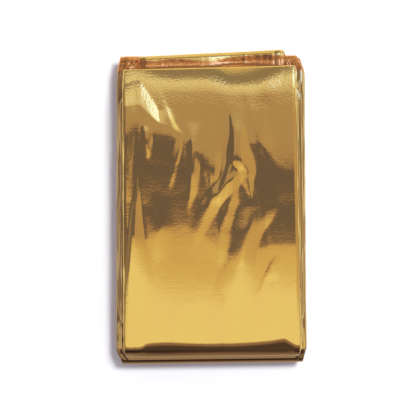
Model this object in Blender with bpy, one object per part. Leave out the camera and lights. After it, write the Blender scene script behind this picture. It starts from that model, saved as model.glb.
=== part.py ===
"""Emergency foil blanket, folded flat and lying on its underside.

The blanket is one piece of metallised film. It is folded lengthwise into a narrow strip, and
the strip is folded back and forth into a pack. The solid is one thick layer, which stands for
the strip with all its plies. It runs back and forth from the top of the pack to the bottom.

Metres, +Z up. X runs across the pack. +Y points to its far end, where the top layer stops short
and the fold below it shows. The origin is the middle of the underside.
"""

import math
from collections import namedtuple

import bmesh
import bpy

MM = 0.001

# The pack
HALF_WIDTH = 39 * MM
HALF_LENGTH = 65 * MM

# The strip, as one layer
THICKNESS = 1.1 * MM
GAP = 0.6 * MM
PITCH = THICKNESS + GAP
EDGE_ROUNDING = 0.35 * MM  # how far the middle of a side edge stands out past its corners

# Side edges of each layer, from the top layer down, in mm from the middle of the pack. Each
# edge is a line between its places at the far end and at the near end.
Layer = namedtuple("Layer", "left_far right_far left_near right_near")
LAYERS = (
    Layer(-35.9, 33.7, -35.4, 36.3),
    Layer(-36.9, 34.6, -36.6, 37.0),
    Layer(-37.6, 36.4, -37.5, 37.6),
    Layer(-38.2, 37.3, -38.1, 38.2),
    Layer(-38.6, 37.7, -38.8, 38.8),
    Layer(-38.4, 38.1, -38.6, 38.6),
    Layer(-38.8, 37.5, -38.3, 38.4),
    Layer(-38.1, 37.9, -38.5, 38.0),
    Layer(-37.6, 37.2, -37.9, 37.7),
    Layer(-37.2, 36.8, -37.0, 37.2),
)

# The strip's two free ends and the folds between them, in its order from the top down, in mm.
# left and right are how far the turn's outer face lies from the middle of the pack at its two
# sides. rounding is the length over which a fold curves down, and 0 for a free end. drop is how
# far the layer below dips to meet a tall fold. The strip draws in at the turn by tuck_left and
# tuck_right, over the stretch that starts tuck_from and is done tuck_to before the turn.
Turn = namedtuple("Turn", "end left right rounding drop tuck_left tuck_right tuck_from tuck_to")
FAR, NEAR = 1, -1
TURNS = (
    Turn(FAR, 56.4, 58.2, 0.0, 0.0, 0.3, 0.2, 7, 0),
    Turn(NEAR, 61.5, 60.6, 7.5, 2.6, 1.4, 1.0, 7, 0),
    Turn(FAR, 62.0, 65.0, 1.2, 0.0, 7.4, 6.6, 20, 8),
    Turn(NEAR, 46.6, 46.0, 0.9, 0.0, 0.6, 0.5, 7, 0),
    Turn(FAR, 62.4, 62.9, 1.0, 0.0, 1.2, 2.6, 7, 0),
    Turn(NEAR, 64.9, 63.9, 1.2, 0.0, 2.2, 1.4, 7, 0),
    Turn(FAR, 61.8, 62.4, 0.9, 0.0, 1.8, 2.0, 7, 0),
    Turn(NEAR, 65.0, 64.3, 1.1, 0.0, 1.6, 1.8, 7, 0),
    Turn(FAR, 62.6, 61.7, 1.0, 0.0, 1.4, 1.2, 7, 0),
    Turn(NEAR, 64.2, 64.7, 1.0, 0.0, 1.5, 1.7, 7, 0),
    Turn(FAR, 60.8, 61.6, 0.0, 0.0, 0.5, 0.4, 7, 0),
)
DROP_RUN = 14 * MM  # the length over which a layer dips to meet a tall fold
TUCK_SPREAD = 1.5  # how many layers from a turn its tuck still draws in

# The uneven upper face. The pack swells by CROWN in the middle and thins by END_SAG towards its
# two ends, and soft troughs and ridges lie on it. Each has its middle, the length and width of
# its bell shape, its direction from +X in degrees, and how far it rises, all in mm but the
# angle. The layers below follow in part, and the lowest one lies flat.
CROWN = 0.9 * MM
END_SAG = 0.8 * MM
Crease = namedtuple("Crease", "x y length width angle rise")
CREASES = (
    Crease(-23.5, 42.0, 9, 3.4, -64, 0.45),
    Crease(-29.0, 20.0, 16, 4.5, 84, -0.35),
    Crease(6.5, 25.5, 13, 4.0, 82, -0.40),
    Crease(7.5, 9.5, 11, 4.0, 52, 0.40),
    Crease(24.0, 8.0, 17, 6.5, -56, -0.55),
    Crease(-25.0, -10.5, 9, 5.0, 20, -0.40),
    Crease(8.5, -16.0, 10, 5.0, -28, -0.45),
    Crease(-9.0, -42.0, 22, 9.0, 23, 0.30),
)

# How finely the solid is divided
COLUMNS = 11  # places across the strip
UPPER_LAYER_STEPS = 18  # along each of the two top layers
LAYER_STEPS = 8
FOLD_STEPS = 6

# The film's gold side
GOLD = (0.83, 0.55, 0.17, 1.0)
GOLD_ROUGHNESS = 0.16

Station = namedtuple("Station", "y z layer")


def clear_scene():
    for obj in list(bpy.data.objects):
        bpy.data.objects.remove(obj, do_unlink=True)


def mix(low, high, share):
    return low + (high - low) * share


def smooth(share):
    """0 below 0, 1 above 1 and an even slope's start and stop between."""
    share = min(max(share, 0.0), 1.0)
    return share * share * (3 - 2 * share)


def layer_height(index):
    """Height of a layer's middle before the pack's swelling. Layer 0 is the top one."""
    return THICKNESS / 2 + (len(LAYERS) - 1 - index) * PITCH


def reach(turn, u):
    """How far a turn's outer face lies from the middle at u, from 0 at the left to 1."""
    return mix(turn.left, turn.right, u) * MM


def turn_start(turn, u):
    """The place along Y where the strip's middle line starts to curve, or where it ends."""
    curved = turn.rounding * MM + THICKNESS / 2 if turn.rounding else 0
    return turn.end * (reach(turn, u) - curved)


def dip(turn, u, y):
    """How far the layer below this turn dips at y to meet it."""
    run = DROP_RUN - turn.rounding * MM
    share = (turn.end * y - reach(turn, u) + DROP_RUN) / run
    return turn.drop * MM * smooth(share)


def layer_stations(index, u):
    """The middle line of one layer, from the turn above it to the turn below it."""
    above, below = TURNS[index], TURNS[index + 1]
    start, stop = turn_start(above, u), turn_start(below, u)
    steps = UPPER_LAYER_STEPS if index < 2 else LAYER_STEPS
    for step in range(steps + 1):
        y = mix(start, stop, smooth(step / steps))  # closer together near the two turns
        yield Station(y, layer_height(index) - dip(above, u, y), index)


def fold_stations(index, u):
    """The middle line of the fold between a layer and the next one, without its ends."""
    turn = TURNS[index + 1]
    upper = layer_height(index)
    lower = layer_height(index + 1) - turn.drop * MM
    for step in range(1, FOLD_STEPS):
        angle = math.pi * step / FOLD_STEPS
        y = turn_start(turn, u) + turn.end * turn.rounding * MM * math.sin(angle)
        fallen = (1 - math.cos(angle)) / 2
        yield Station(y, mix(upper, lower, fallen), index + step / FOLD_STEPS)


def strip_line(u):
    """The strip's whole middle line at u, from its upper free end to its lower one."""
    stations = []
    for index in range(len(LAYERS)):
        stations += layer_stations(index, u)
        if index + 1 < len(LAYERS):
            stations += fold_stations(index, u)
    return stations


def straight_edge(side, station):
    """The X of a side edge in mm at a station, before the strip draws in at its turns."""
    towards_far = (station.y / HALF_LENGTH + 1) / 2
    index = min(int(station.layer), len(LAYERS) - 2)
    upper, lower = (
        mix(getattr(layer, side + "_near"), getattr(layer, side + "_far"), towards_far)
        for layer in LAYERS[index:index + 2]
    )
    return mix(upper, lower, station.layer - index)


def tuck(side, station, u):
    """How far in mm the strip draws in at a station, beside the turns near it."""
    drawn_in = 0
    for number, turn in enumerate(TURNS):
        layers_away = abs(station.layer - number + 0.5)
        before = (reach(turn, u) - turn.end * station.y) / MM
        along = smooth((turn.tuck_from - before) / (turn.tuck_from - turn.tuck_to))
        drawn_in += getattr(turn, "tuck_" + side) * along * smooth(TUCK_SPREAD - layers_away)
    return drawn_in


def side_edge(side, station, u):
    """The X of the strip's left or right side edge at a station."""
    inwards = 1 if side == "left" else -1
    return (straight_edge(side, station) + inwards * tuck(side, station, u)) * MM


def crease_height(crease, x, y):
    """The height that one soft trough or ridge adds at x, y."""
    angle = math.radians(crease.angle)
    east, north = x / MM - crease.x, y / MM - crease.y
    along = east * math.cos(angle) + north * math.sin(angle)
    across = north * math.cos(angle) - east * math.sin(angle)
    falloff = (along / crease.length) ** 2 + (across / crease.width) ** 2
    return crease.rise * MM * math.exp(-falloff)


def swelling(x, y):
    """How far the top layer lies above its level height at x, y."""
    across, along = x / HALF_WIDTH, y / HALF_LENGTH
    crown = CROWN * (1 - across ** 2) * (1 - along ** 4) - END_SAG * along ** 8
    return crown + sum(crease_height(crease, x, y) for crease in CREASES)


def column(u):
    """One line of points along the strip, as (x, y, z) of its middle."""
    bottom = layer_height(len(LAYERS) - 1)
    depth = layer_height(0) - bottom
    points = []
    for station in strip_line(u):
        left = side_edge("left", station, u)
        right = side_edge("right", station, u)
        x = mix(left, right, u)
        share = (station.z - bottom) / depth
        points.append((x, station.y, station.z + share * swelling(x, station.y)))
    return points


def faces_of(points):
    """The two faces of the strip along one column: points half a thickness either way."""
    upper, lower = [], []
    last = len(points) - 1
    for i, (x, y, z) in enumerate(points):
        before, after = points[max(i - 1, 0)], points[min(i + 1, last)]
        along_y, along_z = after[1] - before[1], after[2] - before[2]
        length = math.hypot(along_y, along_z)
        offset_y = along_z / length * THICKNESS / 2
        offset_z = -along_y / length * THICKNESS / 2
        upper.append((x, y + offset_y, z + offset_z))
        lower.append((x, y - offset_y, z - offset_z))
    return upper, lower


def rounded_edge(points, outwards):
    """The middle of a side edge, which stands out a little past its two corners."""
    return [(x + outwards * EDGE_ROUNDING, y, z) for x, y, z in points]


def outline_loops():
    """The strip's section as a closed ring of lines, each of them running along the strip."""
    columns = [column(i / (COLUMNS - 1)) for i in range(COLUMNS)]
    pairs = [faces_of(points) for points in columns]
    upper = [pair[0] for pair in pairs]
    lower = [pair[1] for pair in pairs]
    left = rounded_edge(columns[0], outwards=-1)
    right = rounded_edge(columns[-1], outwards=1)
    return [left, *upper, right, *reversed(lower)]


def strip_mesh(name):
    """The folded strip as one closed mesh, centred over the origin."""
    mesh = bpy.data.meshes.new(name)
    bm = bmesh.new()
    lines = [[bm.verts.new(point) for point in line] for line in outline_loops()]
    count = len(lines)
    for i, line in enumerate(lines):
        beside = lines[(i + 1) % count]
        for step in range(len(line) - 1):
            bm.faces.new((line[step], line[step + 1], beside[step + 1], beside[step]))
    for end in (0, -1):
        close_end(bm, [line[end] for line in lines])
    bmesh.ops.recalc_face_normals(bm, faces=bm.faces)
    centre_over_origin(bm)
    bm.to_mesh(mesh)
    bm.free()
    return mesh


def close_end(bm, ring):
    """Fills a free end of the strip: a triangle at each side edge and quads between."""
    left, right = ring[0], ring[COLUMNS + 1]
    upper, lower = ring[1:COLUMNS + 1], ring[:COLUMNS + 1:-1]
    bm.faces.new((left, upper[0], lower[0]))
    bm.faces.new((right, upper[-1], lower[-1]))
    for i in range(COLUMNS - 1):
        bm.faces.new((upper[i], upper[i + 1], lower[i + 1], lower[i]))


def centre_over_origin(bm):
    for axis in (0, 1):
        places = [vert.co[axis] for vert in bm.verts]
        middle = (min(places) + max(places)) / 2
        for vert in bm.verts:
            vert.co[axis] -= middle


def gold_film():
    material = bpy.data.materials.new("gold_film")
    material.use_nodes = True
    shader = material.node_tree.nodes["Principled BSDF"]
    shader.inputs["Base Color"].default_value = GOLD
    shader.inputs["Metallic"].default_value = 1.0
    shader.inputs["Roughness"].default_value = GOLD_ROUGHNESS
    material.diffuse_color = GOLD
    return material


def add_blanket():
    blanket = bpy.data.objects.new("foil_blanket", strip_mesh("foil_blanket"))
    blanket.data.materials.append(gold_film())
    blanket.data.shade_smooth()
    blanket.data.set_sharp_from_angle(angle=math.radians(50))
    bpy.context.scene.collection.objects.link(blanket)
    return blanket


clear_scene()
add_blanket()
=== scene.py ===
"""Looks of the folded emergency foil blanket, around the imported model.

The film is one closed mesh. It follows the solid's own folds, from the top layer to the bottom
one, and its side edges show the plies that each layer holds. Metres, +Z up, +Y to the far end.
"""

import math
from collections import namedtuple

import bpy
import numpy as np
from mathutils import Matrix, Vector


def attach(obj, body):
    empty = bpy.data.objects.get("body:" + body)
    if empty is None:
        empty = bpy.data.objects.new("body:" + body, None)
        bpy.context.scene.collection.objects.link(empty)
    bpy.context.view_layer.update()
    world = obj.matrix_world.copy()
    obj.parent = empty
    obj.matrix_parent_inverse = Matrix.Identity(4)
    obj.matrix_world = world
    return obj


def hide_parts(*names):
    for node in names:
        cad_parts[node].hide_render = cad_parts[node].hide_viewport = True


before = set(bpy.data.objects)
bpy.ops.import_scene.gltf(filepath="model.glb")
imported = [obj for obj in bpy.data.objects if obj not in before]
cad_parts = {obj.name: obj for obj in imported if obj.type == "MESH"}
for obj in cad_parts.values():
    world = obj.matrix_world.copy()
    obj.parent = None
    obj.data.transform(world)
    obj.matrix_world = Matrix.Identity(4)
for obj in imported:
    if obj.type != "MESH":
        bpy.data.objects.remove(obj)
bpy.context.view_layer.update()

MM = 0.001

# ---------------------------------------------------------------- the folded strip's sizes
HALF_WIDTH_MM, HALF_LENGTH_MM = 39, 65
HALF_WIDTH = HALF_WIDTH_MM * MM
HALF_LENGTH = HALF_LENGTH_MM * MM
THICKNESS = 1.25 * MM
PITCH = 1.70 * MM  # from one layer's middle to the next
LOWEST_MIDDLE = 0.64 * MM  # height of the lowest layer's middle

# Side edges of each layer, from the top layer down, in mm from the middle of the pack. Each
# edge is a line between its places at the far end and at the near end.
Layer = namedtuple("Layer", "left_far right_far left_near right_near")
LAYERS = (
    Layer(-35.9, 33.7, -35.4, 36.3),
    Layer(-36.9, 34.6, -36.6, 37.0),
    Layer(-37.6, 36.4, -37.5, 37.6),
    Layer(-38.2, 37.3, -38.1, 38.2),
    Layer(-38.6, 37.7, -38.8, 38.8),
    Layer(-38.4, 38.1, -38.6, 38.6),
    Layer(-38.8, 37.5, -38.3, 38.4),
    Layer(-38.1, 37.9, -38.5, 38.0),
    Layer(-37.6, 37.2, -37.9, 37.7),
    Layer(-37.2, 36.8, -37.0, 37.2),
)

# The strip's two free ends and the folds between them, in its order from the top down, in mm. Each
# has its reach at the left and the right side, the depth of its round, and how far the layer below
# it bends down towards it. Its corners are drawn in by the two tucks, from one distance before the
# reach to the other.
Turn = namedtuple("Turn", "end left right rounding drop tuck_left tuck_right tuck_from tuck_to")
FAR, NEAR = 1, -1
TURNS = (
    Turn(FAR, 56.4, 58.2, 0.0, 0.0, 0.3, 0.2, 7, 0),
    Turn(NEAR, 61.5, 60.6, 7.5, 2.6, 1.4, 1.0, 7, 0),
    Turn(FAR, 62.0, 65.0, 1.2, 0.0, 7.4, 6.6, 20, 8),
    Turn(NEAR, 46.6, 46.0, 0.9, 0.0, 0.6, 0.5, 7, 0),
    Turn(FAR, 62.4, 62.9, 1.0, 0.0, 1.2, 2.6, 7, 0),
    Turn(NEAR, 64.9, 63.9, 1.2, 0.0, 2.2, 1.4, 7, 0),
    Turn(FAR, 61.8, 62.4, 0.9, 0.0, 1.8, 2.0, 7, 0),
    Turn(NEAR, 65.0, 64.3, 1.1, 0.0, 1.6, 1.8, 7, 0),
    Turn(FAR, 62.6, 61.7, 1.0, 0.0, 1.4, 1.2, 7, 0),
    Turn(NEAR, 64.2, 64.7, 1.0, 0.0, 1.5, 1.7, 7, 0),
    Turn(FAR, 60.8, 61.6, 0.0, 0.0, 0.5, 0.4, 7, 0),
)
DROP_RUN = 14 * MM  # the way over which a layer bends down
TUCK_SPREAD = 1.5  # how many layers a tuck reaches

# ---------------------------------------------------------------- relief of the upper face, mm
# A pair that names a place or layers is a start and a run: what it limits sets in over that run,
# and a run below 0 goes to lower values. Layers count from 0 at the top, with their folds between
# the whole numbers.
CROWN_ALONG, CROWN_ALONG_POWER = 0.90, 4
CROWN_ACROSS, CROWN_ACROSS_POWER = 0.06, 8
CREASE_SOFTNESS = 0.2  # share of a flank that is rounded at its crest and again at its foot
NEAR_FLANK_SOFTNESS, FAR_FLANK_SOFTNESS = 0.06, 0.10
FINE_FADE = 6  # how fast the creases fade from the top layer to the lower ones

# The crumpled field's wrinkles: direction in radians, stretch and shift, and how they are bent.
WRINKLES = ((0.3, 1.0, 0.4), (1.4, 1.3, 2.1), (2.3, 0.8, 4.0), (2.9, 1.7, 5.2))
WRINKLES_SUM = 2.4
WRINKLE_BEND, WRINKLE_BEND_LENGTH = 1.2, 2.3

# Creases that run up the panel. Each is a ridge with two straight flanks, and each row gives
# the places of its left foot, its crest and its right foot across the panel.
Crease = namedtuple("Crease", "y left crest right height")
CREASES = (
    # lighter strip along the left edge
    (Crease(57.0, -37.2, -35.6, -31.0, 0.00), Crease(48.0, -37.2, -35.6, -31.2, 0.20),
     Crease(41.5, -37.2, -35.6, -30.4, 0.33), Crease(36.0, -37.2, -35.6, -29.0, 0.36),
     Crease(30.0, -37.2, -35.6, -29.8, 0.38), Crease(24.0, -37.2, -35.6, -30.6, 0.34),
     Crease(14.0, -37.2, -35.5, -31.6, 0.27), Crease(4.0, -37.2, -35.5, -32.4, 0.18),
     Crease(-6.0, -37.2, -35.4, -33.5, 0.07), Crease(-14.0, -37.2, -35.4, -34.0, 0.00)),
    # short warm streak below the bright corner
    (Crease(34.0, -28.9, -27.4, -24.0, 0.00), Crease(30.5, -28.7, -27.3, -23.4, 0.18),
     Crease(27.0, -28.4, -27.0, -23.5, 0.21), Crease(24.0, -28.0, -26.6, -23.9, 0.15),
     Crease(19.5, -27.0, -25.8, -24.4, 0.00)),
    # faint streak in the dark zone
    (Crease(30.8, -13.7, -12.7, -11.3, 0.00), Crease(25.1, -15.3, -13.5, -11.3, 0.075),
     Crease(20.2, -16.6, -14.5, -12.3, 0.105), Crease(14.5, -17.4, -16.0, -13.7, 0.095),
     Crease(6.4, -17.8, -17.0, -15.8, 0.00)),
    # two gold streaks in the middle
    (Crease(37.3, -13.7, -7.6, -1.5, 0.00), Crease(28.4, -11.7, -7.6, -2.7, 0.17),
     Crease(22.7, -10.5, -7.8, -3.1, 0.31), Crease(15.3, -10.0, -8.2, -3.9, 0.29),
     Crease(8.0, -10.0, -8.6, -5.2, 0.17), Crease(-3.4, -10.5, -9.6, -8.4, 0.00)),
    (Crease(40.6, -8.8, -1.5, 5.8, 0.00), Crease(29.6, -8.5, -0.8, 5.6, 0.09),
     Crease(22.7, -8.0, -0.2, 5.2, 0.17), Crease(17.0, -5.0, 0.3, 4.6, 0.19),
     Crease(9.0, -2.4, 0.4, 3.0, 0.11), Crease(-1.0, -1.9, 0.2, 1.4, 0.00)),
    # dark leaf
    (Crease(49.6, 1.8, 7.9, 11.5, 0.00), Crease(40.6, 5.0, 7.9, 14.0, 0.05),
     Crease(36.5, 7.1, 8.1, 14.8, 0.09), Crease(30.0, 6.9, 9.4, 15.6, 0.18),
     Crease(24.3, 6.0, 9.4, 15.6, 0.23), Crease(19.4, 5.0, 8.7, 15.0, 0.22),
     Crease(14.5, 3.8, 6.9, 12.4, 0.17), Crease(6.0, 1.8, 4.2, 7.8, 0.08),
     Crease(-4.0, -0.6, 1.4, 4.0, 0.00)),
    # gold diagonal below the leaf
    (Crease(25.9, 8.3, 12.4, 15.6, 0.00), Crease(14.5, 5.0, 10.1, 14.8, 0.11),
     Crease(9.6, 0.5, 6.0, 12.4, 0.18), Crease(5.1, -3.1, 2.0, 8.3, 0.20),
     Crease(0.7, -5.6, -0.9, 4.6, 0.15), Crease(-5.9, -8.0, -3.9, 0.5, 0.07),
     Crease(-19.7, -10.5, -8.4, -5.6, 0.00)),
    # brown streak beside the dark blade
    (Crease(18.0, 7.9, 10.5, 13.0, 0.00), Crease(11.5, 6.7, 9.2, 12.2, 0.08),
     Crease(4.7, 5.0, 7.9, 12.0, 0.16),
     Crease(-1.8, 2.6, 5.8, 10.3, 0.16), Crease(-9.1, 1.8, 4.2, 8.3, 0.12),
     Crease(-24.6, 2.2, 4.2, 6.3, 0.00)),
    # dark blade, with the gold gap on its right
    (Crease(28.4, 9.9, 13.6, 20.5, 0.00), Crease(15.3, 10.7, 14.4, 24.6, 0.08),
     Crease(8.0, 10.7, 15.6, 27.8, 0.15), Crease(1.5, 10.3, 16.4, 29.5, 0.22),
     Crease(-4.2, 9.1, 15.6, 26.2, 0.30), Crease(-9.9, 7.5, 14.4, 21.7, 0.36),
     Crease(-14.8, 6.8, 13.5, 20.0, 0.34), Crease(-19.7, 5.4, 12.3, 19.4, 0.29),
     Crease(-26.2, 2.4, 10.4, 19.2, 0.23), Crease(-37.6, -1.5, 8.5, 18.3, 0.13),
     Crease(-60.0, -4.8, 5.0, 15.6, 0.03)),
    # gold tongue beside the dark wedge
    (Crease(47.9, 1.8, 10.6, 15.0, 0.00), Crease(30.8, 3.4, 11.2, 14.9, 0.09),
     Crease(27.5, 4.0, 11.0, 15.2, 0.13), Crease(24.0, 4.5, 11.0, 16.2, 0.17),
     Crease(20.5, 5.5, 11.8, 17.9, 0.20), Crease(17.0, 8.5, 13.6, 18.9, 0.20),
     Crease(14.5, 10.5, 14.8, 18.7, 0.17), Crease(11.3, 11.5, 14.8, 17.6, 0.12),
     Crease(7.2, 13.5, 15.4, 16.9, 0.07), Crease(2.0, 15.5, 16.1, 16.7, 0.00)),
    # flame along the left edge
    (Crease(14.5, -30.8, -30.0, -29.2, 0.00), Crease(6.4, -31.8, -30.8, -28.4, 0.16),
     Crease(0.7, -32.9, -31.6, -27.8, 0.28), Crease(-5.9, -33.7, -32.3, -27.0, 0.37),
     Crease(-13.2, -34.3, -32.7, -25.9, 0.48), Crease(-22.2, -35.0, -33.4, -24.3, 0.38),
     Crease(-33.6, -35.6, -34.0, -21.9, 0.17), Crease(-53.9, -35.6, -34.0, -20.2, 0.00)),
    # dark tooth beside that flame
    (Crease(7.2, -27.6, -22.7, -16.2, 0.00), Crease(-2.6, -27.2, -22.5, -15.3, 0.09),
     Crease(-9.1, -26.3, -22.3, -14.5, 0.13), Crease(-14.4, -25.5, -22.3, -14.5, 0.08),
     Crease(-23.8, -25.1, -21.9, -16.2, 0.00)),
    # faint dark line that ends at the wedge
    (Crease(52.0, 10.6, 13.0, 19.0, 0.00), Crease(44.0, 12.9, 15.0, 22.0, 0.05),
     Crease(37.9, 14.6, 16.7, 24.0, 0.085), Crease(31.6, 16.4, 18.6, 26.0, 0.10),
     Crease(26.0, 17.8, 20.4, 27.0, 0.09), Crease(20.0, 19.6, 22.0, 28.0, 0.04),
     Crease(9.0, 22.0, 24.2, 30.0, 0.00)),
    # narrow yellow leaf in the far left corner
    (Crease(50.4, -30.0, -21.0, -19.8, 0.00), Crease(43.9, -30.0, -20.2, -18.4, 0.09),
     Crease(39.0, -29.2, -18.6, -16.2, 0.14), Crease(34.1, -28.4, -16.6, -14.3, 0.12),
     Crease(27.0, -28.4, -15.6, -8.0, 0.11), Crease(12.0, -28.4, -15.0, -7.0, 0.07),
     Crease(-10.0, -28.0, -15.0, -7.0, 0.00)),
    # bright swelling near the far right corner
    (Crease(35.0, 16.0, 20.0, 26.0, 0.00), Crease(42.0, 16.0, 20.5, 27.0, 0.04),
     Crease(47.0, 16.5, 21.0, 28.0, 0.11), Crease(52.0, 17.0, 22.0, 29.5, 0.19),
     Crease(60.0, 17.0, 23.0, 31.0, 0.21)),
    # two small marks in the near half
    (Crease(-18.5, 24.4, 26.4, 29.4, 0.00), Crease(-23.5, 22.7, 24.4, 29.0, 0.06),
     Crease(-26.8, 21.3, 22.9, 28.6, 0.075), Crease(-30.0, 19.8, 21.5, 28.2, 0.045),
     Crease(-41.0, 16.4, 19.0, 26.6, 0.00)),
    (Crease(-34.4, 1.8, 4.8, 5.8, 0.00), Crease(-42.5, 1.0, 4.8, 5.6, 0.05),
     Crease(-51.5, 0.1, 4.6, 5.4, 0.05), Crease(-58.8, 0.1, 4.6, 5.8, 0.00)),
)

# Creases that run across the panel, with the places of their near foot, crest and far foot.
CrossCrease = namedtuple("CrossCrease", "x near crest far height")
CROSS_CREASES = (
    # bend below the bright corner at the far left
    (CrossCrease(-40.6, -56.0, 40.6, 50.4, 0.56), CrossCrease(-34.9, -56.0, 41.0, 51.2, 0.59),
     CrossCrease(-29.8, -56.0, 41.6, 52.6, 0.61), CrossCrease(-27.2, -56.0, 39.4, 49.4, 0.60),
     CrossCrease(-24.9, -56.0, 37.0, 46.0, 0.56), CrossCrease(-22.9, -56.0, 35.3, 42.9, 0.47),
     CrossCrease(-21.5, -56.0, 34.4, 39.9, 0.38), CrossCrease(-20.3, -56.0, 33.8, 39.8, 0.31),
     CrossCrease(-18.6, -56.0, 33.0, 41.0, 0.24), CrossCrease(-17.0, -56.0, 32.2, 41.2, 0.19),
     CrossCrease(-13.5, -56.0, 30.0, 39.0, 0.13),
     CrossCrease(-8.8, -56.0, 27.1, 35.7, 0.07), CrossCrease(-0.7, -56.0, 25.5, 34.1, 0.00)),
    # bend where the dark zone ends
    (CrossCrease(-37.3, -56.0, -11.6, 3.1, 0.14), CrossCrease(-29.2, -56.0, -12.4, 2.3, 0.15),
     CrossCrease(-23.5, -56.0, -13.6, 0.7, 0.15), CrossCrease(-19.8, -56.0, -8.3, 4.7, 0.09),
     CrossCrease(-10.5, -56.0, -7.9, 6.4, 0.07), CrossCrease(-4.8, -56.0, -11.6, 4.7, 0.10),
     CrossCrease(1.0, -56.0, -15.2, 2.3, 0.14), CrossCrease(8.3, -56.0, -20.1, 1.1, 0.18),
     CrossCrease(14.0, -56.0, -20.5, 1.1, 0.18), CrossCrease(18.9, -56.0, -17.7, 1.5, 0.20),
     CrossCrease(24.6, -56.0, -16.5, 2.3, 0.22), CrossCrease(36.0, -56.0, -16.1, 3.1, 0.22)),
    # bend where the dark wedge starts, slanting down to the right
    (CrossCrease(9.5, 13.0, 27.0, 42.0, 0.00), CrossCrease(12.5, 12.0, 27.0, 44.0, 0.10),
     CrossCrease(15.5, 11.0, 26.8, 44.0, 0.17), CrossCrease(20.5, 2.0, 25.0, 44.0, 0.19),
     CrossCrease(24.0, -24.0, 20.0, 42.0, 0.19), CrossCrease(28.0, -44.0, 15.5, 40.0, 0.19),
     CrossCrease(32.0, -50.0, 14.0, 38.0, 0.16), CrossCrease(40.0, -52.0, 14.0, 38.0, 0.15)),
    # low rise that keeps the middle bright further down
    (CrossCrease(-16.0, -22.0, 15.0, 40.0, 0.00), CrossCrease(-9.0, -22.0, 15.0, 40.0, 0.10),
     CrossCrease(-4.0, -22.0, 15.0, 40.0, 0.22), CrossCrease(1.0, -24.0, 15.0, 40.0, 0.24),
     CrossCrease(6.0, -26.0, 13.5, 40.0, 0.20), CrossCrease(11.0, -26.0, 13.0, 40.0, 0.16),
     CrossCrease(15.0, -26.0, 13.0, 40.0, 0.06), CrossCrease(18.0, -26.0, 13.0, 40.0, 0.00)),
    # low bend above the dark zone at the left
    (CrossCrease(-37.0, 17.0, 31.0, 60.0, 0.02), CrossCrease(-30.0, 17.0, 31.5, 60.0, 0.05),
     CrossCrease(-23.0, 17.0, 30.5, 60.0, 0.10), CrossCrease(-17.0, 17.0, 29.8, 60.0, 0.10),
     CrossCrease(-13.0, 17.0, 28.5, 58.0, 0.05), CrossCrease(-9.0, 17.0, 28.5, 58.0, 0.00)),
)

# Where the top layer's far end starts to bend down, and its slope at the edge.
Bend = namedtuple("Bend", "x start slope")
FAR_BENDS = (
    Bend(-38.6, 45.1, 0.08), Bend(-29.2, 45.9, 0.10), Bend(-21.0, 46.3, 0.15),
    Bend(-12.9, 46.7, 0.18), Bend(-2.3, 46.7, 0.18), Bend(8.3, 45.5, 0.28),
    Bend(20.5, 45.5, 0.22), Bend(29.9, 46.3, 0.13), Bend(36.0, 47.1, 0.10),
)
PAST_FAR_EDGE = 1.15  # the bend goes on this far, in shares of its run

# How far the near fold's shoulder is shifted towards the far end. The shift sets in on the way to
# the near end and is gone again at the fold's own end.
Shoulder = namedtuple("Shoulder", "x shift")
SHOULDERS = (
    Shoulder(-36.0, -2.2), Shoulder(-29.2, -2.0), Shoulder(-26.0, -0.5), Shoulder(-19.0, -0.1),
    Shoulder(-8.0, -0.6), Shoulder(4.0, -1.0), Shoulder(15.6, -0.6), Shoulder(24.0, 0.0),
    Shoulder(29.5, 0.8), Shoulder(32.0, -0.4), Shoulder(35.5, -2.2),
)
SHOULDER_ALONG = (-45, -7)
SHOULDER_END = (-61, 5)

# How wide the top layer's left edge is rounded down.
EdgeRound = namedtuple("EdgeRound", "y width")
LEFT_ROUNDS = (
    EdgeRound(-56.0, 0.7), EdgeRound(-31.5, 0.9), EdgeRound(-17.3, 1.7),
    EdgeRound(16.0, 1.7), EdgeRound(25.0, 0.6), EdgeRound(60.0, 0.6),
)
LEFT_FALL = 0.14
RIGHT_ROUND, RIGHT_FALL = 1.0, 0.10
PAST_SIDE_EDGE = 1.2  # the rounding goes on this far, in shares of its width

EDGE_CRINKLE, EDGE_CRINKLE_SIZE = 0.003, 1.9
LEFT_CRINKLE_RUN, RIGHT_CRINKLE_RUN = 1.6, 1.0
RIGHT_CRINKLE_SHARE = 0.4
CRINKLE_LIMIT = 9  # beyond this distance from the edge the crinkles count as gone

# ---------------------------------------------------------------- shape of what lies below, mm
BELOW_TOP = (0, 1)

SIDE_ROUND = 2.8  # width of the sloping sides of the lower layers
SIDE_FALL = 0.85  # how far they slope down
SIDE_SOFTNESS = 0.15
NEAR_RAMP_START = -57.0  # from here the near folds slope down
NEAR_RAMP, NEAR_RAMP_ROUND = 0.09, 1.0
RAMP_LAYERS = (2, 1)

# The crumpled far corners, and the same more weakly along the near ends of the sides.
CORNER_CRUMPLE, CORNER_CRUMPLE_SIZE = 0.28, 2.6
CORNER_LAYERS = (2.2, 1)
LAST_CORNER_LAYERS = (5, -1)
CORNER_ALONG = (53, 4)
CORNERS_MIDDLE = -1
CORNER_ACROSS = (25, 4)
NEAR_SIDE_SHARE = 0.5
NEAR_SIDE_ALONG = (-38, -8)
NEAR_SIDE_ACROSS = (34, 2)

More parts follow.
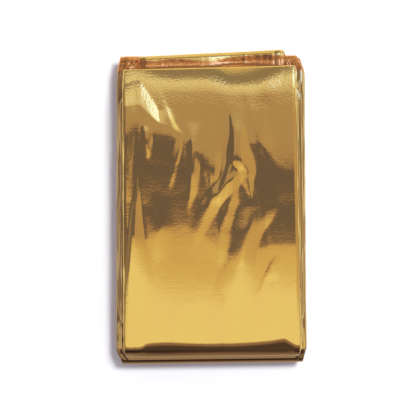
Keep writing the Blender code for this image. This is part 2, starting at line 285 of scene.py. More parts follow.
# The far fold that shows beyond the top layer rises to a crest and falls again.
TabCrest = namedtuple("TabCrest", "x y")
TAB_CRESTS = (
    TabCrest(-29.0, 60.6), TabCrest(-24.0, 60.0), TabCrest(-19.0, 60.9), TabCrest(-13.0, 61.2),
    TabCrest(-4.8, 60.2), TabCrest(0.1, 59.9), TabCrest(5.4, 61.3), TabCrest(13.0, 62.4),
    TabCrest(20.0, 62.8), TabCrest(27.4, 62.7),
)
TAB_RISE, TAB_FALL = 0.055, 0.035  # slopes on both sides of the crest
TAB_CREST_ROUND = 0.2
TAB_CRUMPLE, TAB_CRUMPLE_SIZE = 0.02, 3.0
TAB_ALONG = (55.5, 2)
LAST_TAB_LAYERS = (2.5, -1)
TabCrease = namedtuple("TabCrease", "x width rise")
TAB_CREASES = (
    TabCrease(-20.6, 0.7, 0.05), TabCrease(-3.9, 0.5, 0.07), TabCrease(-1.0, 0.4, 0.05),
    TabCrease(0.3, 0.5, 0.04), TabCrease(13.6, 0.6, 0.09), TabCrease(24.6, 0.6, 0.06),
)

# ---------------------------------------------------------------- how finely it is divided
FINE_COLUMNS = 155
COLUMN_CROWDING = 0.3  # how much closer the columns stand at the sides
COARSE_SHARES = (0, 0.012, 0.04, 0.1, 0.25, 0.5, 0.75, 0.9, 0.96, 0.988, 1)
TOP_STEPS = 250
TOP_EVENNESS = 0.5  # of the top layer's stations. The others crowd at the layer's ends.
LAYER_STEPS = 50
FOLD_STEPS = 12
TOP_FOLD_STEPS = 40

# What is seen from outside and so needs all columns: the upper face, the second near fold and the
# folds at the far end, by layer and by the place along the pack.
UPPER_FACE_TO = 1.1
NEAR_FACE_LAYERS = (4.0, 5.0)
NEAR_FACE_BEFORE = -55 * MM
TAB_FACE_LAYERS = (1.0, 4.0)
TAB_FACE_AFTER = 50 * MM

# ---------------------------------------------------------------- lips along the side edges
PLIES = 3  # lips of film along each side edge of a layer
LIP_OUT = 0.22  # how far a lip stands out, mm
LIP_UNEVENNESS = 0.20
LIP_LINES = ((0.8, 0.0), (0.0, 0.22), (-0.8, 0.0))  # rise in shares of half a ply, and mm outwards
LONG_WAVE, SHORT_WAVE = 47 * MM, 13 * MM
SHORT_WAVE_SHARE = 0.35
SHORT_WAVE_SEED = 5
RIGHT_SEED, LEFT_SEED = 2.0, 7.0
# The sines of one uneven line: pace, what the seed shifts it by, and height.
WAVE_PARTS = ((1.0, 1.7, 1.0), (1.73, 4.1, 0.6), (2.91, 2.3, 0.4))
FREE_END_ROUND = 0.97  # how much of its half round a free end has before its flat cap


def mix(low, high, share):
    return low + (high - low) * share


def smooth(share):
    share = np.clip(share, 0.0, 1.0)
    return share * share * (3 - 2 * share)


def setting_in(value, start, run):
    """0 at the start and 1 after the run, smooth between. A run below 0 goes to lower values."""
    return smooth((value - start) / run)


def smooth_line(place, knots_at, values):
    """A line through the values, level at both ends and without overshoot."""
    at = np.array(knots_at, float)
    values = np.array(values, float)
    rise = np.diff(values) / np.diff(at)
    slope = np.zeros_like(values)
    for i in range(1, len(at) - 1):
        if rise[i - 1] * rise[i] > 0:
            slope[i] = 2 * rise[i - 1] * rise[i] / (rise[i - 1] + rise[i])
    i = np.clip(np.searchsorted(at, place) - 1, 0, len(at) - 2)
    width = at[i + 1] - at[i]
    t = np.clip((place - at[i]) / width, 0, 1)
    before = values[i] * (1 + 2 * t) * (1 - t) ** 2 + slope[i] * width * t * (1 - t) ** 2
    after = values[i + 1] * t * t * (3 - 2 * t) + slope[i + 1] * width * t * t * (t - 1)
    return before + after


# ---------------------------------------------------------------- the strip's middle line
def layer_height(index):
    return LOWEST_MIDDLE + (len(LAYERS) - 1 - index) * PITCH


def reach(turn, u):
    return mix(turn.left, turn.right, u) * MM


def turn_start(turn, u):
    """Where the layer ends and the fold's round begins."""
    curved = turn.rounding * MM + THICKNESS / 2 if turn.rounding else 0
    return turn.end * (reach(turn, u) - curved)


def dip(turn, u, y):
    """How far a layer bends down on its way to the turn above it."""
    run = DROP_RUN - turn.rounding * MM
    return turn.drop * MM * smooth((turn.end * y - reach(turn, u) + DROP_RUN) / run)


def layer_lines(index, u):
    """Stations of one layer: y and z for every column, and the place along the strip."""
    above, below = TURNS[index], TURNS[index + 1]
    start, stop = turn_start(above, u), turn_start(below, u)
    steps = LAYER_STEPS if index else TOP_STEPS
    evenness = 0.0 if index else TOP_EVENNESS
    for step in range(steps + 1):
        even = step / steps
        crowded = (1 - math.cos(math.pi * even)) / 2
        y = mix(start, stop, mix(crowded, even, evenness))
        yield y, layer_height(index) - dip(above, u, y), float(index)


def fold_lines(index, u):
    """Stations of the fold below one layer, in the same form."""
    turn = TURNS[index + 1]
    upper = layer_height(index)
    lower = layer_height(index + 1) - turn.drop * MM
    steps = TOP_FOLD_STEPS if index == 0 else FOLD_STEPS
    for step in range(1, steps):
        angle = math.pi * step / steps
        y = turn_start(turn, u) + turn.end * turn.rounding * MM * math.sin(angle)
        z = mix(upper, lower, (1 - math.cos(angle)) / 2) + 0 * u
        yield y, z, index + step / steps


def strip_lines(u):
    """The middle line at every place across: y and z by station and column, and the layer."""
    rows = []
    for index in range(len(LAYERS)):
        rows += layer_lines(index, u)
        if index + 1 < len(LAYERS):
            rows += fold_lines(index, u)
    ys, zs, layers = zip(*rows)
    return np.array(ys), np.array([z + 0 * u for z in zs]), np.array(layers)


def straight_edge(side, y, layer):
    """Where a side edge lies, in mm, before its corners are drawn in."""
    towards_far = (y / HALF_LENGTH + 1) / 2
    index = np.minimum(layer.astype(int), len(LAYERS) - 2)[:, None]
    near = np.array([getattr(row, side + "_near") for row in LAYERS])
    far = np.array([getattr(row, side + "_far") for row in LAYERS])
    upper = mix(near[index], far[index], towards_far)
    lower = mix(near[index + 1], far[index + 1], towards_far)
    return mix(upper, lower, layer[:, None] - index)


def tuck(side, y, layer, u):
    """How far the corners of the turns draw a side edge in, in mm."""
    drawn_in = np.zeros_like(y)
    for number, turn in enumerate(TURNS):
        away = np.abs(layer - number + 0.5)[:, None]
        before = (reach(turn, u) - turn.end * y) / MM
        along = smooth((turn.tuck_from - before) / (turn.tuck_from - turn.tuck_to))
        drawn_in += getattr(turn, "tuck_" + side) * along * smooth(TUCK_SPREAD - away)
    return drawn_in


# ---------------------------------------------------------------- relief, all in mm
def columns_of(rows, place, *names):
    """Smooth lines through the named columns of a table, by its first column."""
    rows = sorted(rows)
    at = [row[0] for row in rows]
    return [smooth_line(place, at, [getattr(row, name) for row in rows]) for name in names]


def flank(share, softness):
    """A straight flank from 1 at the crest to 0 at the foot, softened at both."""
    share = np.clip(share, 0, 1)
    near_crest = share ** 2 / (2 * softness)
    near_foot = 1 - softness - (1 - share) ** 2 / (2 * softness)
    fallen = np.where(share < softness, near_crest, share - softness / 2)
    fallen = np.where(share > 1 - softness, near_foot, fallen)
    return 1 - fallen / (1 - softness)


def crease_height(rows, x, y):
    left, crest, right, height = columns_of(rows, y, "left", "crest", "right", "height")
    to_left = flank((crest - x) / (crest - left), CREASE_SOFTNESS)
    to_right = flank((x - crest) / (right - crest), CREASE_SOFTNESS)
    return height * np.where(x < crest, to_left, to_right)


def cross_crease_height(rows, x, y):
    near, crest, far, height = columns_of(rows, x, "near", "crest", "far", "height")
    to_near = flank((crest - y) / (crest - near), NEAR_FLANK_SOFTNESS)
    to_far = flank((y - crest) / (far - crest), FAR_FLANK_SOFTNESS)
    return height * np.where(y < crest, to_near, to_far)


def far_bend(x, y):
    """The top layer's bend down towards its far edge."""
    start, slope = columns_of(FAR_BENDS, x, "start", "slope")
    top = LAYERS[0]
    across = np.clip((x - top.left_far) / (top.right_far - top.left_far), 0, 1)
    run = mix(TURNS[0].left, TURNS[0].right, across) - start
    share = np.clip((y - start) / run, 0, PAST_FAR_EDGE)
    return -slope * run * share ** 2 / 2


def crumple(x, y, size):
    """An uneven field between about -1 and 1, with wrinkles that run all ways."""
    total = 0
    for turn, stretch, shift in WRINKLES:
        along = (x * math.cos(turn) + y * math.sin(turn)) / (size * stretch) * math.tau
        across = (y * math.cos(turn) - x * math.sin(turn)) / (size * WRINKLE_BEND_LENGTH) * math.tau
        total = total + np.sin(along + shift + WRINKLE_BEND * np.sin(across + shift))
    return total / WRINKLES_SUM


def edge_rounding(x, y):
    """How far the top layer's side edges round down, with their small crinkles."""
    towards_far = (y / HALF_LENGTH_MM + 1) / 2
    top = LAYERS[0]
    from_left = x - mix(top.left_near, top.left_far, towards_far)
    from_right = mix(top.right_near, top.right_far, towards_far) - x
    width, = columns_of(LEFT_ROUNDS, y, "width")
    left = np.clip(1 - from_left / width, 0, PAST_SIDE_EDGE)
    right = np.clip(1 - from_right / RIGHT_ROUND, 0, PAST_SIDE_EDGE)
    crinkled = np.exp(-np.clip(from_left, 0, CRINKLE_LIMIT) / LEFT_CRINKLE_RUN)
    at_right = np.exp(-np.clip(from_right, 0, CRINKLE_LIMIT) / RIGHT_CRINKLE_RUN)
    crinkled = crinkled + RIGHT_CRINKLE_SHARE * at_right
    rounded = -LEFT_FALL * left ** 2 - RIGHT_FALL * right ** 2
    return rounded + EDGE_CRINKLE * crinkled * crumple(x, y, EDGE_CRINKLE_SIZE)


def broad_relief(x, y):
    along = CROWN_ALONG * (1 - (y / HALF_LENGTH_MM) ** CROWN_ALONG_POWER)
    across = CROWN_ACROSS * (1 - (x / HALF_WIDTH_MM) ** CROWN_ACROSS_POWER)
    return along + across + far_bend(x, y)


def fine_relief(x, y):
    total = sum(crease_height(rows, x, y) for rows in CREASES)
    total += sum(cross_crease_height(rows, x, y) for rows in CROSS_CREASES)
    return total + edge_rounding(x, y)


def tab_relief(x, y):
    """The far fold beyond the top layer: a rise to its crest, a fall and a few creases."""
    crest, = columns_of(TAB_CRESTS, x, "y")
    beyond = y - crest
    slope = (TAB_RISE - TAB_FALL) / 2 * beyond
    bend = (TAB_RISE + TAB_FALL) / 2 * np.sqrt(beyond ** 2 + TAB_CREST_ROUND)
    creases = sum(row.rise * np.exp(-((x - row.x) / row.width) ** 2) for row in TAB_CREASES)
    return slope - bend + creases + TAB_CRUMPLE * crumple(x, y, TAB_CRUMPLE_SIZE)


def sunk_sides(x, left, right):
    """How far a lower layer's rounded sides lie below its middle."""
    from_edge = np.minimum(x - left, right - x)
    return -SIDE_FALL * (1 - flank(1 - from_edge / SIDE_ROUND, SIDE_SOFTNESS))


def near_ramp(y):
    before = NEAR_RAMP_START - y
    return -NEAR_RAMP * (before + np.sqrt(before ** 2 + NEAR_RAMP_ROUND)) / 2


def shoulder_shift(x, y):
    """Moves the near fold's shoulder, and leaves the fold's end where it is."""
    shift, = columns_of(SHOULDERS, x, "shift")
    return shift * setting_in(y, *SHOULDER_ALONG) * setting_in(y, *SHOULDER_END)


def crumpled_corners(x, y, layer):
    """How much the far corners and the near ends of the sides are crumpled."""
    far = setting_in(layer, *CORNER_LAYERS) * setting_in(layer, *LAST_CORNER_LAYERS)
    far = far * setting_in(y, *CORNER_ALONG)
    far = far * setting_in(np.abs(x - CORNERS_MIDDLE), *CORNER_ACROSS)
    near = setting_in(layer, *BELOW_TOP) * setting_in(layer, *LAST_CORNER_LAYERS)
    near = near * setting_in(y, *NEAR_SIDE_ALONG)
    return far + NEAR_SIDE_SHARE * near * setting_in(np.abs(x), *NEAR_SIDE_ACROSS)


def total_relief(x, y, layer, share, left, right):
    """The relief of every layer. The share is 0 at the lowest layer and 1 at the top one."""
    relief = share * broad_relief(x, y) + share ** FINE_FADE * fine_relief(x, y)
    relief = relief + share * setting_in(layer, *RAMP_LAYERS) * near_ramp(y)
    relief = relief + share * setting_in(layer, *BELOW_TOP) * sunk_sides(x, left, right)
    on_tab = setting_in(layer, *BELOW_TOP) * setting_in(layer, *LAST_TAB_LAYERS)
    on_tab = on_tab * setting_in(y, *TAB_ALONG)
    in_corner = crumpled_corners(x, y, layer)
    relief = relief + on_tab * tab_relief(x, y)
    return relief + in_corner * CORNER_CRUMPLE * crumple(x, y, CORNER_CRUMPLE_SIZE)


# ---------------------------------------------------------------- the film's mesh
def column_places():
    even = np.linspace(0, 1, FINE_COLUMNS)
    return even - COLUMN_CROWDING / math.tau * np.sin(math.tau * even)


def coarse_columns():
    places = column_places()
    return {int(np.argmin(abs(places - share))) for share in COARSE_SHARES}


def wave(place, wavelength, seed):
    """A smooth uneven line between -1 and 1 along a place in metres."""
    t = place / wavelength * math.tau
    return sum(height * np.sin(pace * t + seed * shift) for pace, shift, height in WAVE_PARTS) / 2


def strip_points():
    """Middle points of the strip by station, column and axis, and the layer of each station."""
    u = column_places()
    y, z, layer = strip_lines(u)
    left = straight_edge("left", y, layer) + tuck("left", y, layer, u)
    right = straight_edge("right", y, layer) - tuck("right", y, layer, u)
    x = mix(left, right, u)
    layer_of = layer[:, None]
    y_mm = y / MM
    y_mm = y_mm + np.where(layer_of < 1, shoulder_shift(x, y_mm), 0)
    bottom, top = layer_height(len(LAYERS) - 1), layer_height(0)
    share = np.clip((z - bottom) / (top - bottom), 0, 1)
    relief = total_relief(x, y_mm, layer_of, share, left, right)
    return np.stack([x * MM, y_mm * MM, z + relief * MM], axis=2), layer


def normals_of(points):
    """Unit normals of each column's line in the YZ plane. They point up on the top layer."""
    along = np.empty_like(points)
    along[1:-1] = points[2:] - points[:-2]
    along[0], along[-1] = points[1] - points[0], points[-1] - points[-2]
    along[:, :, 0] = 0
    along /= np.linalg.norm(along, axis=2, keepdims=True)
    return np.stack([0 * along[:, :, 0], along[:, :, 2], -along[:, :, 1]], axis=2)


def run_along(line):
    """The way from a line's first point to each of its points."""
    return np.concatenate([[0], np.cumsum(np.linalg.norm(np.diff(line, axis=0), axis=1))])


def half_thickness(points):
    """Half the thickness at each station, rounded off at the strip's two free ends."""
    run = run_along(points[:, points.shape[1] // 2])
    from_end = np.minimum(run, run[-1] - run)
    flat = np.clip(1 - from_end / (THICKNESS / 2), 0, FREE_END_ROUND)
    return THICKNESS / 2 * np.sqrt(1 - flat ** 2)


def side_lips(edge, normals, half, outwards, seed):
    """Lines along a side edge, from its upper corner to its lower one: the plies' lips."""
    run = run_along(edge)
    lines = []
    for ply in range(PLIES):
        uneven = wave(run, LONG_WAVE, seed + ply)
        uneven = uneven + SHORT_WAVE_SHARE * wave(run, SHORT_WAVE, seed + SHORT_WAVE_SEED + ply)
        stand_out = (LIP_OUT + LIP_UNEVENNESS * uneven) * MM
        middle = 1 - (2 * ply + 1) / PLIES
        for rise, out in LIP_LINES:
            line = edge + normals * (half * (middle + rise / PLIES))[:, None]
            line[:, 0] += outwards * (out * MM + stand_out)
            lines.append(line)
    return lines


def fine_stations(layer, y):
    """Stations whose side A or side B is seen from outside, so needs all its columns."""
    first, last = NEAR_FACE_LAYERS
    side_a = (layer <= UPPER_FACE_TO) | ((layer >= first) & (layer <= last) & (y < NEAR_FACE_BEFORE))
    first, last = TAB_FACE_LAYERS
    side_b = (layer >= first) & (layer <= last) & (y > TAB_FACE_AFTER)
    return side_a, side_b


def ring_lines():
    """The lines around the strip's section: side A, right lips, side B, left lips."""
    points, layer = strip_points()
    normals = normals_of(points)
    half = half_thickness(points)
    offset = normals * half[:, None, None]
    upper, lower = points + offset, points - offset
    right = side_lips(points[:, -1], normals[:, -1], half, 1, RIGHT_SEED)
    left = side_lips(points[:, 0], normals[:, 0], half, -1, LEFT_SEED)
    order = range(FINE_COLUMNS)
    lines = [upper[:, j] for j in order] + right
    lines += [lower[:, j] for j in reversed(order)] + left[::-1]
    side_a, side_b = fine_stations(layer, points[:, FINE_COLUMNS // 2, 1])
    coarse = coarse_columns()
    always = np.ones(len(layer), bool)
    shown = [side_a | (j in coarse) for j in order] + [always] * len(right)
    shown += [side_b | (j in coarse) for j in reversed(order)] + [always] * len(left)
    return np.stack(lines, axis=1), np.stack(shown, axis=1)


def film_mesh(name):
    """One closed mesh around the strip's section, with caps at its two free ends."""
    lines, shown = ring_lines()
    number = np.cumsum(shown).reshape(shown.shape) - 1
    rows = [list(np.flatnonzero(row)) for row in shown]
    faces = []
    for k, (here, there) in enumerate(zip(rows, rows[1:])):
        both = [i for i in here if shown[k + 1, i]]
        for a, b in zip(both, both[1:] + both[:1]):
            near_side = [i for i in here if a <= i <= b] if a < b else [a, b]
            far_side = [i for i in there if a <= i <= b] if a < b else [a, b]
            loop = [number[k + 1, i] for i in far_side]
            faces.append(loop + [number[k, i] for i in reversed(near_side)])
    faces.append([number[0, i] for i in rows[0]])
    faces.append([number[-1, i] for i in reversed(rows[-1])])
    mesh = bpy.data.meshes.new(name)
    mesh.from_pydata([tuple(point) for point in lines[shown]], [], faces)
    mesh.validate()
    mesh.shade_smooth()
    return mesh


# ---------------------------------------------------------------- shader nodes
def math_node(tree, kind, *values):
    node = tree.nodes.new("ShaderNodeMath")
    node.operation = kind
    for socket, value in zip(node.inputs, values):
        if isinstance(value, (int, float)):
            socket.default_value = value
        else:
            tree.links.new(value, socket)
    return node.outputs[0]


def soft_step(tree, value, start, stop):
    """0 before the start and 1 after the stop. A start above the stop turns it round."""
    node = tree.nodes.new("ShaderNodeMapRange")
    node.interpolation_type = "SMOOTHSTEP"
    tree.links.new(value, node.inputs["Value"])
    node.inputs["From Min"].default_value = min(start, stop)
    node.inputs["From Max"].default_value = max(start, stop)
    node.inputs["To Min"].default_value = 0.0 if start < stop else 1.0
    node.inputs["To Max"].default_value = 1.0 if start < stop else 0.0
    return node.outputs["Result"]


def soft_step_mm(tree, value, limits):
    start, stop = limits
    return soft_step(tree, value, start * MM, stop * MM)


def mixed(tree, share, first, second):
    """A blend of two colours. Each is an output or a fixed colour."""
    node = tree.nodes.new("ShaderNodeMix")
    node.data_type = "RGBA"
    tree.links.new(share, node.inputs["Factor"])
    for name, value in (("A", first), ("B", second)):
        if isinstance(value, tuple):
            node.inputs[name].default_value = (*value, 1)
        else:
            tree.links.new(value, node.inputs[name])
    return node.outputs["Result"]


def colour_ramp(tree, place, stops):
    ramp = tree.nodes.new("ShaderNodeValToRGB")
    tree.links.new(place, ramp.inputs[0])
    elements = ramp.color_ramp.elements
    elements.remove(elements[-1])
    for i, (position, colour) in enumerate(stops):
        element = elements[0] if i == 0 else elements.new(position)
        element.position = position
        element.color = (*colour, 1)
    return ramp.outputs["Color"]


def noise(tree, place, kind):
    """Noise in object space, as its row of sizes says."""
    scaled = tree.nodes.new("ShaderNodeVectorMath")
    scaled.operation = "MULTIPLY"
    tree.links.new(place, scaled.inputs[0])
    scaled.inputs[1].default_value = kind.waves
    node = tree.nodes.new("ShaderNodeTexNoise")
    tree.links.new(scaled.outputs[0], node.inputs["Vector"])
    node.inputs["Scale"].default_value = 1.0
    node.inputs["Detail"].default_value = kind.detail
    node.inputs["Roughness"].default_value = kind.harshness
    return node.outputs[0]


def bumped(tree, height, size, normal=None):
    node = tree.nodes.new("ShaderNodeBump")
    node.inputs["Strength"].default_value = 1.0
    node.inputs["Distance"].default_value = size
    tree.links.new(height, node.inputs["Height"])
    if normal is not None:
        tree.links.new(normal, node.inputs["Normal"])
    return node.outputs[0]


# ---------------------------------------------------------------- materials
GOLD = (0.80, 0.55, 0.14)
DEEP_GOLD = (0.80, 0.53, 0.135)
# painted reflection: copper where the gold film mirrors itself at the far end
PAINTED_COPPER_REFLECTION = (0.76, 0.34, 0.09)
LEFT_PAINTED_SHADE = (0.47, 0.30, 0.105)  # painted shade on the lower layers' sides, left and right, for their darker reflections
RIGHT_PAINTED_SHADE = (0.60, 0.41, 0.13)
# painted shade: darker film at the near end, for the darker reflections of its steep folds
NEAR_END_PAINTED_SHADE = (0.29, 0.17, 0.07)

# Where the painted shade and the painted reflection set in, in mm: none at the first place and all
# of it at the second.
BELOW_TOP_TINT = (15.4, 15.0)  # by height
UPPER_LAYERS_TINT = (6.0, 7.2)
SIDE_TINT = (34.6, 36.0)  # by the distance from the middle
LEFT_TO_RIGHT = (-10, 10)
NEAR_END_TINT = (-57.6, -59.0)  # by the place along the pack
FAR_END_TINT = (55.5, 57.0)
INSIDE_CREST_TINT = (0.3, -0.5)  # by the distance beyond the tab's crest
CORNER_TINT = (28.5, 30.5)
CREST_LOW, CREST_HIGH = 59.0, 64.0  # limits for the tab's crest in the material

# Kinds of noise: waves per metre along X, Y and Z, detail, harshness and height in mm.
Noise = namedtuple("Noise", "waves detail harshness height", defaults=(0,))
HUE = Noise((90, 45, 90), 2, 0.5)
GRAIN = Noise((1500, 1500, 1500), 1, 0.5, 0.006)
UP_LINES = Noise((1400, 55, 300), 1, 0.5, 0.004)
ACROSS_LINES = Noise((60, 1100, 300), 1, 0.5, 0.002)
CRINKLES = Noise((260, 210, 260), 3, 0.6, 0.012)
DULLNESS = Noise((500, 150, 500), 2, 0.5)
HUE_LIMITS = (0.35, 0.75)
EMBOSSED = (36, 45)  # the grain grows between these places along the pack, mm
EMBOSSED_GAIN = 4.5
ROUGHNESS, ROUGHNESS_RANGE = 0.015, 0.05


def painted_copper_share(tree, x, y, below_top):
    """Where the copper painted reflection goes: the tab's inner half and the upper layers' far
    corners.
    """
    across = math_node(tree, "MULTIPLY_ADD", x, 1 / (2 * HALF_WIDTH), 0.5)
    stops = []
    for row in TAB_CRESTS:
        level = (row.y - CREST_LOW) / (CREST_HIGH - CREST_LOW)
        stops.append((row.x * MM / (2 * HALF_WIDTH) + 0.5, (level, level, level)))
    level = colour_ramp(tree, across, stops)
    crest = math_node(tree, "MULTIPLY_ADD", level, (CREST_HIGH - CREST_LOW) * MM, CREST_LOW * MM)
    inner = soft_step_mm(tree, math_node(tree, "SUBTRACT", y, crest), INSIDE_CREST_TINT)
    beside = soft_step_mm(tree, math_node(tree, "ABSOLUTE", x), CORNER_TINT)
    shown = math_node(tree, "MAXIMUM", inner, beside)
    at_far_end = soft_step_mm(tree, y, FAR_END_TINT)
    return math_node(tree, "MULTIPLY", shown, math_node(tree, "MULTIPLY", at_far_end, below_top))


def film_colour(tree, place):
    """Gold, with painted shade in brown on the sides and the near end, and a painted copper
    reflection at the far end.
    """
    split = tree.nodes.new("ShaderNodeSeparateXYZ")
    tree.links.new(place, split.inputs[0])
    x, y, z = (split.outputs[name] for name in "XYZ")
    colour = mixed(tree, soft_step(tree, noise(tree, place, HUE), *HUE_LIMITS), GOLD, DEEP_GOLD)
    below_top = soft_step_mm(tree, z, BELOW_TOP_TINT)
    # painted shade: brown on the lower layers' sides, for the darker reflections there
    painted_side_shade = mixed(tree, soft_step_mm(tree, x, LEFT_TO_RIGHT), LEFT_PAINTED_SHADE, RIGHT_PAINTED_SHADE)
    at_side = soft_step_mm(tree, math_node(tree, "ABSOLUTE", x), SIDE_TINT)
    colour = mixed(tree, math_node(tree, "MULTIPLY", at_side, below_top), colour, painted_side_shade)
    # painted shade: brown at the near end, for the darker reflections there
    colour = mixed(tree, soft_step_mm(tree, y, NEAR_END_TINT), colour, NEAR_END_PAINTED_SHADE)
    upper = math_node(tree, "MULTIPLY", below_top, soft_step_mm(tree, z, UPPER_LAYERS_TINT))
    # painted reflection: copper on the tab and the far corners
    return mixed(tree, painted_copper_share(tree, x, y, upper), colour, PAINTED_COPPER_REFLECTION), y


def film_normal(tree, place, y):
    """The film's fine texture: grain, drawn lines both ways and small crinkles."""
    grain = noise(tree, place, GRAIN)
    finer = [(noise(tree, place, kind), kind) for kind in (UP_LINES, ACROSS_LINES, CRINKLES)]
    embossed = soft_step_mm(tree, y, EMBOSSED)
    gain = math_node(tree, "MULTIPLY_ADD", embossed, EMBOSSED_GAIN, 1.0)
    normal = bumped(tree, math_node(tree, "MULTIPLY", grain, gain), GRAIN.height * MM)
    for height, kind in finer:
        normal = bumped(tree, height, kind.height * MM, normal)
    return normal


def gold_film():
    material = bpy.data.materials.new("gold_film")
    material.use_nodes = True
    tree = material.node_tree
    shader = tree.nodes["Principled BSDF"]
    place = tree.nodes.new("ShaderNodeTexCoord").outputs["Object"]
    colour, y = film_colour(tree, place)
    tree.links.new(colour, shader.inputs["Base Color"])
    tree.links.new(film_normal(tree, place, y), shader.inputs["Normal"])
    rough = noise(tree, place, DULLNESS)
    rough = math_node(tree, "MULTIPLY_ADD", rough, ROUGHNESS_RANGE, ROUGHNESS)
    tree.links.new(rough, shader.inputs["Roughness"])
    shader.inputs["Metallic"].default_value = 1.0
    return material


def add_film():
    film = bpy.data.objects.new("foil_film", film_mesh("foil_film"))
    bpy.context.scene.collection.objects.link(film)
    film.data.materials.append(gold_film())
    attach(film, "root")
    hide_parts("foil_blanket")


# ---------------------------------------------------------------- studio
# What the film mirrors, by the direction's slope from straight up towards the far end. The
# middle tones hold for directions near straight up, the others for those that lean to a side.
Tone = namedtuple("Tone", "slope red green blue")
NEARWARD_TONES = (
    Tone(-9.0, 0.78, 0.72, 0.66), Tone(-5.0, 0.75, 0.68, 0.62), Tone(-2.8, 0.68, 0.60, 0.56),
    Tone(-1.8, 0.52, 0.44, 0.44), Tone(-1.3, 0.28, 0.22, 0.28), Tone(-0.95, 0.10, 0.078, 0.13),
    Tone(-0.48, 0.09, 0.068, 0.13), Tone(-0.40, 0.30, 0.21, 0.30), Tone(-0.36, 0.34, 0.25, 0.33),
    Tone(-0.33, 0.40, 0.30, 0.36), Tone(-0.29, 1.0, 1.0, 1.0),
)
MIDDLE_TONES = NEARWARD_TONES + (
    Tone(-0.098, 1.0, 1.0, 1.0), Tone(-0.083, 0.89, 0.82, 0.72), Tone(-0.068, 0.82, 0.71, 0.60),
    Tone(-0.040, 0.755, 0.63, 0.515), Tone(-0.028, 0.72, 0.57, 0.52),
    Tone(-0.0207, 0.57, 0.39, 0.40), Tone(-0.0136, 0.34, 0.25, 0.35),
    Tone(-0.0068, 0.235, 0.19, 0.31), Tone(0.0, 0.185, 0.163, 0.29), Tone(0.031, 0.18, 0.163, 0.30),
    Tone(0.038, 0.36, 0.24, 0.31), Tone(0.046, 0.53, 0.42, 0.48), Tone(0.12, 0.52, 0.44, 0.52),
    Tone(0.15, 0.72, 0.69, 0.85), Tone(0.25, 0.84, 0.84, 1.05), Tone(0.30, 0.98, 1.08, 1.5),
    Tone(0.34, 0.76, 0.74, 0.95), Tone(0.385, 0.35, 0.32, 0.46), Tone(0.58, 0.34, 0.32, 0.46),
    Tone(0.75, 0.76, 0.68, 0.7), Tone(2.0, 1.0, 0.95, 0.9),
)
RIGHT_TONES = NEARWARD_TONES + (
    Tone(-0.15, 1.0, 1.0, 1.0), Tone(-0.09, 0.76, 0.63, 0.53), Tone(-0.05, 0.70, 0.57, 0.50),
    Tone(0.0, 0.60, 0.46, 0.46), Tone(0.12, 0.62, 0.50, 0.50), Tone(0.15, 0.88, 0.90, 1.00),
    Tone(0.175, 1.05, 1.2, 1.5), Tone(0.215, 1.25, 1.75, 4.2), Tone(0.36, 1.25, 1.75, 4.2),
    Tone(0.42, 0.35, 0.35, 0.5), Tone(0.58, 0.3, 0.3, 0.4), Tone(0.75, 0.76, 0.68, 0.7),
    Tone(2.0, 1.0, 0.95, 0.9),
)
LEFT_TONES = NEARWARD_TONES + (
    Tone(-0.13, 0.9, 0.9, 0.9), Tone(-0.10, 0.30, 0.24, 0.34), Tone(-0.02, 0.19, 0.17, 0.30),
    Tone(0.12, 0.19, 0.17, 0.30), Tone(0.15, 0.42, 0.34, 0.45), Tone(0.19, 0.55, 0.46, 0.53),
    Tone(0.34, 0.66, 0.60, 0.75), Tone(0.40, 0.35, 0.35, 0.5), Tone(0.58, 0.3, 0.3, 0.4),
    Tone(0.75, 0.76, 0.68, 0.7), Tone(2.0, 1.0, 0.95, 0.9),
)
# For directions that lean far to a side, the tones go by the slope to the right instead.
SIDE_TONES = (
    Tone(-6.0, 0.85, 0.8, 0.74), Tone(-2.5, 0.66, 0.60, 0.56), Tone(-1.6, 0.56, 0.50, 0.50),
    Tone(-1.0, 0.32, 0.27, 0.35), Tone(-0.45, 0.34, 0.29, 0.40), Tone(0.45, 0.34, 0.29, 0.40),
    Tone(1.0, 0.40, 0.35, 0.44), Tone(1.6, 0.62, 0.56, 0.54), Tone(2.5, 0.72, 0.66, 0.60),
    Tone(6.0, 0.88, 0.84, 0.78),
)
BRIGHTEST = 5.0  # more than any tone, since a colour ramp holds shares of it

# Slopes to the right between which the right, the left and the side tones set in.
LEANS_RIGHT = (0.09, 0.13)
LEANS_LEFT = (-0.083, -0.112)
LEANS_FAR = (0.45, 0.65)
LOWEST_RISE = 0.02  # directions below this one count as this high

FLOOR_HALF_SIDE = 3.0
FLOOR_HEIGHT = -0.1 * MM  # a little below the film, so that the two don't touch
FLOOR_COLOUR = (0.9, 0.9, 0.9)
FLOOR_ROUGHNESS = 0.9

CAMERA_DISTANCE = 0.60
CAMERA_PLACE = (-4.75 * MM, 3.1 * MM)  # so that the pack lies where the photo has it
FRAME_WIDTH = 0.1651  # what the photo's width spans at the frame's height
FRAME_HEIGHT = 0.010
SENSOR_WIDTH = 36
CLIP_START = 0.01

KEY_PLACE = (0.34, 0.30, 1.0)
KEY_SIDE = 0.26
KEY_WATTS = 10.3
KEY_COLOUR = (0.96, 1.0, 0.94)


def squeezed(slope):
    """A slope from minus to plus infinity, as a share from 0 to 1."""
    return 0.5 + 0.5 * slope / (1 + abs(slope))


def squeezed_node(tree, slope):
    size = math_node(tree, "ADD", 1.0, math_node(tree, "ABSOLUTE", slope))
    return math_node(tree, "MULTIPLY_ADD", math_node(tree, "DIVIDE", slope, size), 0.5, 0.5)


def tone_stops(tones):
    return [(squeezed(tone.slope), tuple(value / BRIGHTEST for value in tone[1:])) for tone in tones]


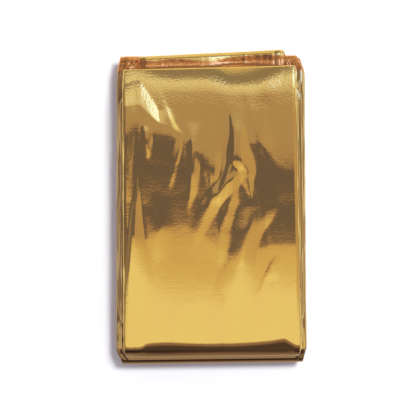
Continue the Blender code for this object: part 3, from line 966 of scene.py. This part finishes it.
def add_surroundings():
    world = bpy.data.worlds.new("studio")
    bpy.context.scene.world = world
    world.use_nodes = True
    tree = world.node_tree
    coordinates = tree.nodes.new("ShaderNodeTexCoord")
    split = tree.nodes.new("ShaderNodeSeparateXYZ")
    tree.links.new(coordinates.outputs["Generated"], split.inputs[0])
    height = math_node(tree, "MAXIMUM", split.outputs["Z"], LOWEST_RISE)
    sideways = math_node(tree, "DIVIDE", split.outputs["X"], height)
    farwards = math_node(tree, "DIVIDE", split.outputs["Y"], height)
    place = squeezed_node(tree, farwards)
    middle, right, left = (
        colour_ramp(tree, place, tone_stops(tones))
        for tones in (MIDDLE_TONES, RIGHT_TONES, LEFT_TONES))
    side = colour_ramp(tree, squeezed_node(tree, sideways), tone_stops(SIDE_TONES))
    colour = mixed(tree, soft_step(tree, sideways, *LEANS_RIGHT), middle, right)
    colour = mixed(tree, soft_step(tree, sideways, *LEANS_LEFT), colour, left)
    leaning = math_node(tree, "ABSOLUTE", sideways)
    colour = mixed(tree, soft_step(tree, leaning, *LEANS_FAR), colour, side)
    background = tree.nodes["Background"]
    tree.links.new(colour, background.inputs["Color"])
    background.inputs["Strength"].default_value = BRIGHTEST


def add_floor():
    side = FLOOR_HALF_SIDE
    corners = [(-side, -side, 0), (side, -side, 0), (side, side, 0), (-side, side, 0)]
    mesh = bpy.data.meshes.new("floor")
    mesh.from_pydata(corners, [], [(0, 1, 2, 3)])
    floor = bpy.data.objects.new("floor", mesh)
    floor.location.z = FLOOR_HEIGHT
    bpy.context.scene.collection.objects.link(floor)
    material = bpy.data.materials.new("floor")
    material.use_nodes = True
    shader = material.node_tree.nodes["Principled BSDF"]
    shader.inputs["Base Color"].default_value = (*FLOOR_COLOUR, 1)
    shader.inputs["Roughness"].default_value = FLOOR_ROUGHNESS
    mesh.materials.append(material)


def add_camera():
    """A camera that looks straight down, as the photo does."""
    data = bpy.data.cameras.new("camera")
    camera = bpy.data.objects.new("camera", data)
    bpy.context.scene.collection.objects.link(camera)
    data.lens = SENSOR_WIDTH * CAMERA_DISTANCE / FRAME_WIDTH
    data.clip_start = CLIP_START
    camera.location = (*CAMERA_PLACE, CAMERA_DISTANCE + FRAME_HEIGHT)
    bpy.context.scene.camera = camera


def add_key_light():
    """The one lamp. The film doesn't mirror it, since the tones around the scene do that."""
    data = bpy.data.lights.new("key", "AREA")
    data.shape = "SQUARE"
    data.size = KEY_SIDE
    data.energy = KEY_WATTS
    data.color = KEY_COLOUR
    light = bpy.data.objects.new("key", data)
    light.location = KEY_PLACE
    light.visible_glossy = False
    light.rotation_euler = (-Vector(light.location)).to_track_quat("-Z", "Y").to_euler()
    bpy.context.scene.collection.objects.link(light)


def main():
    add_film()
    add_floor()
    add_surroundings()
    add_key_light()
    add_camera()
    bpy.context.scene.view_settings.view_transform = "Standard"


main()
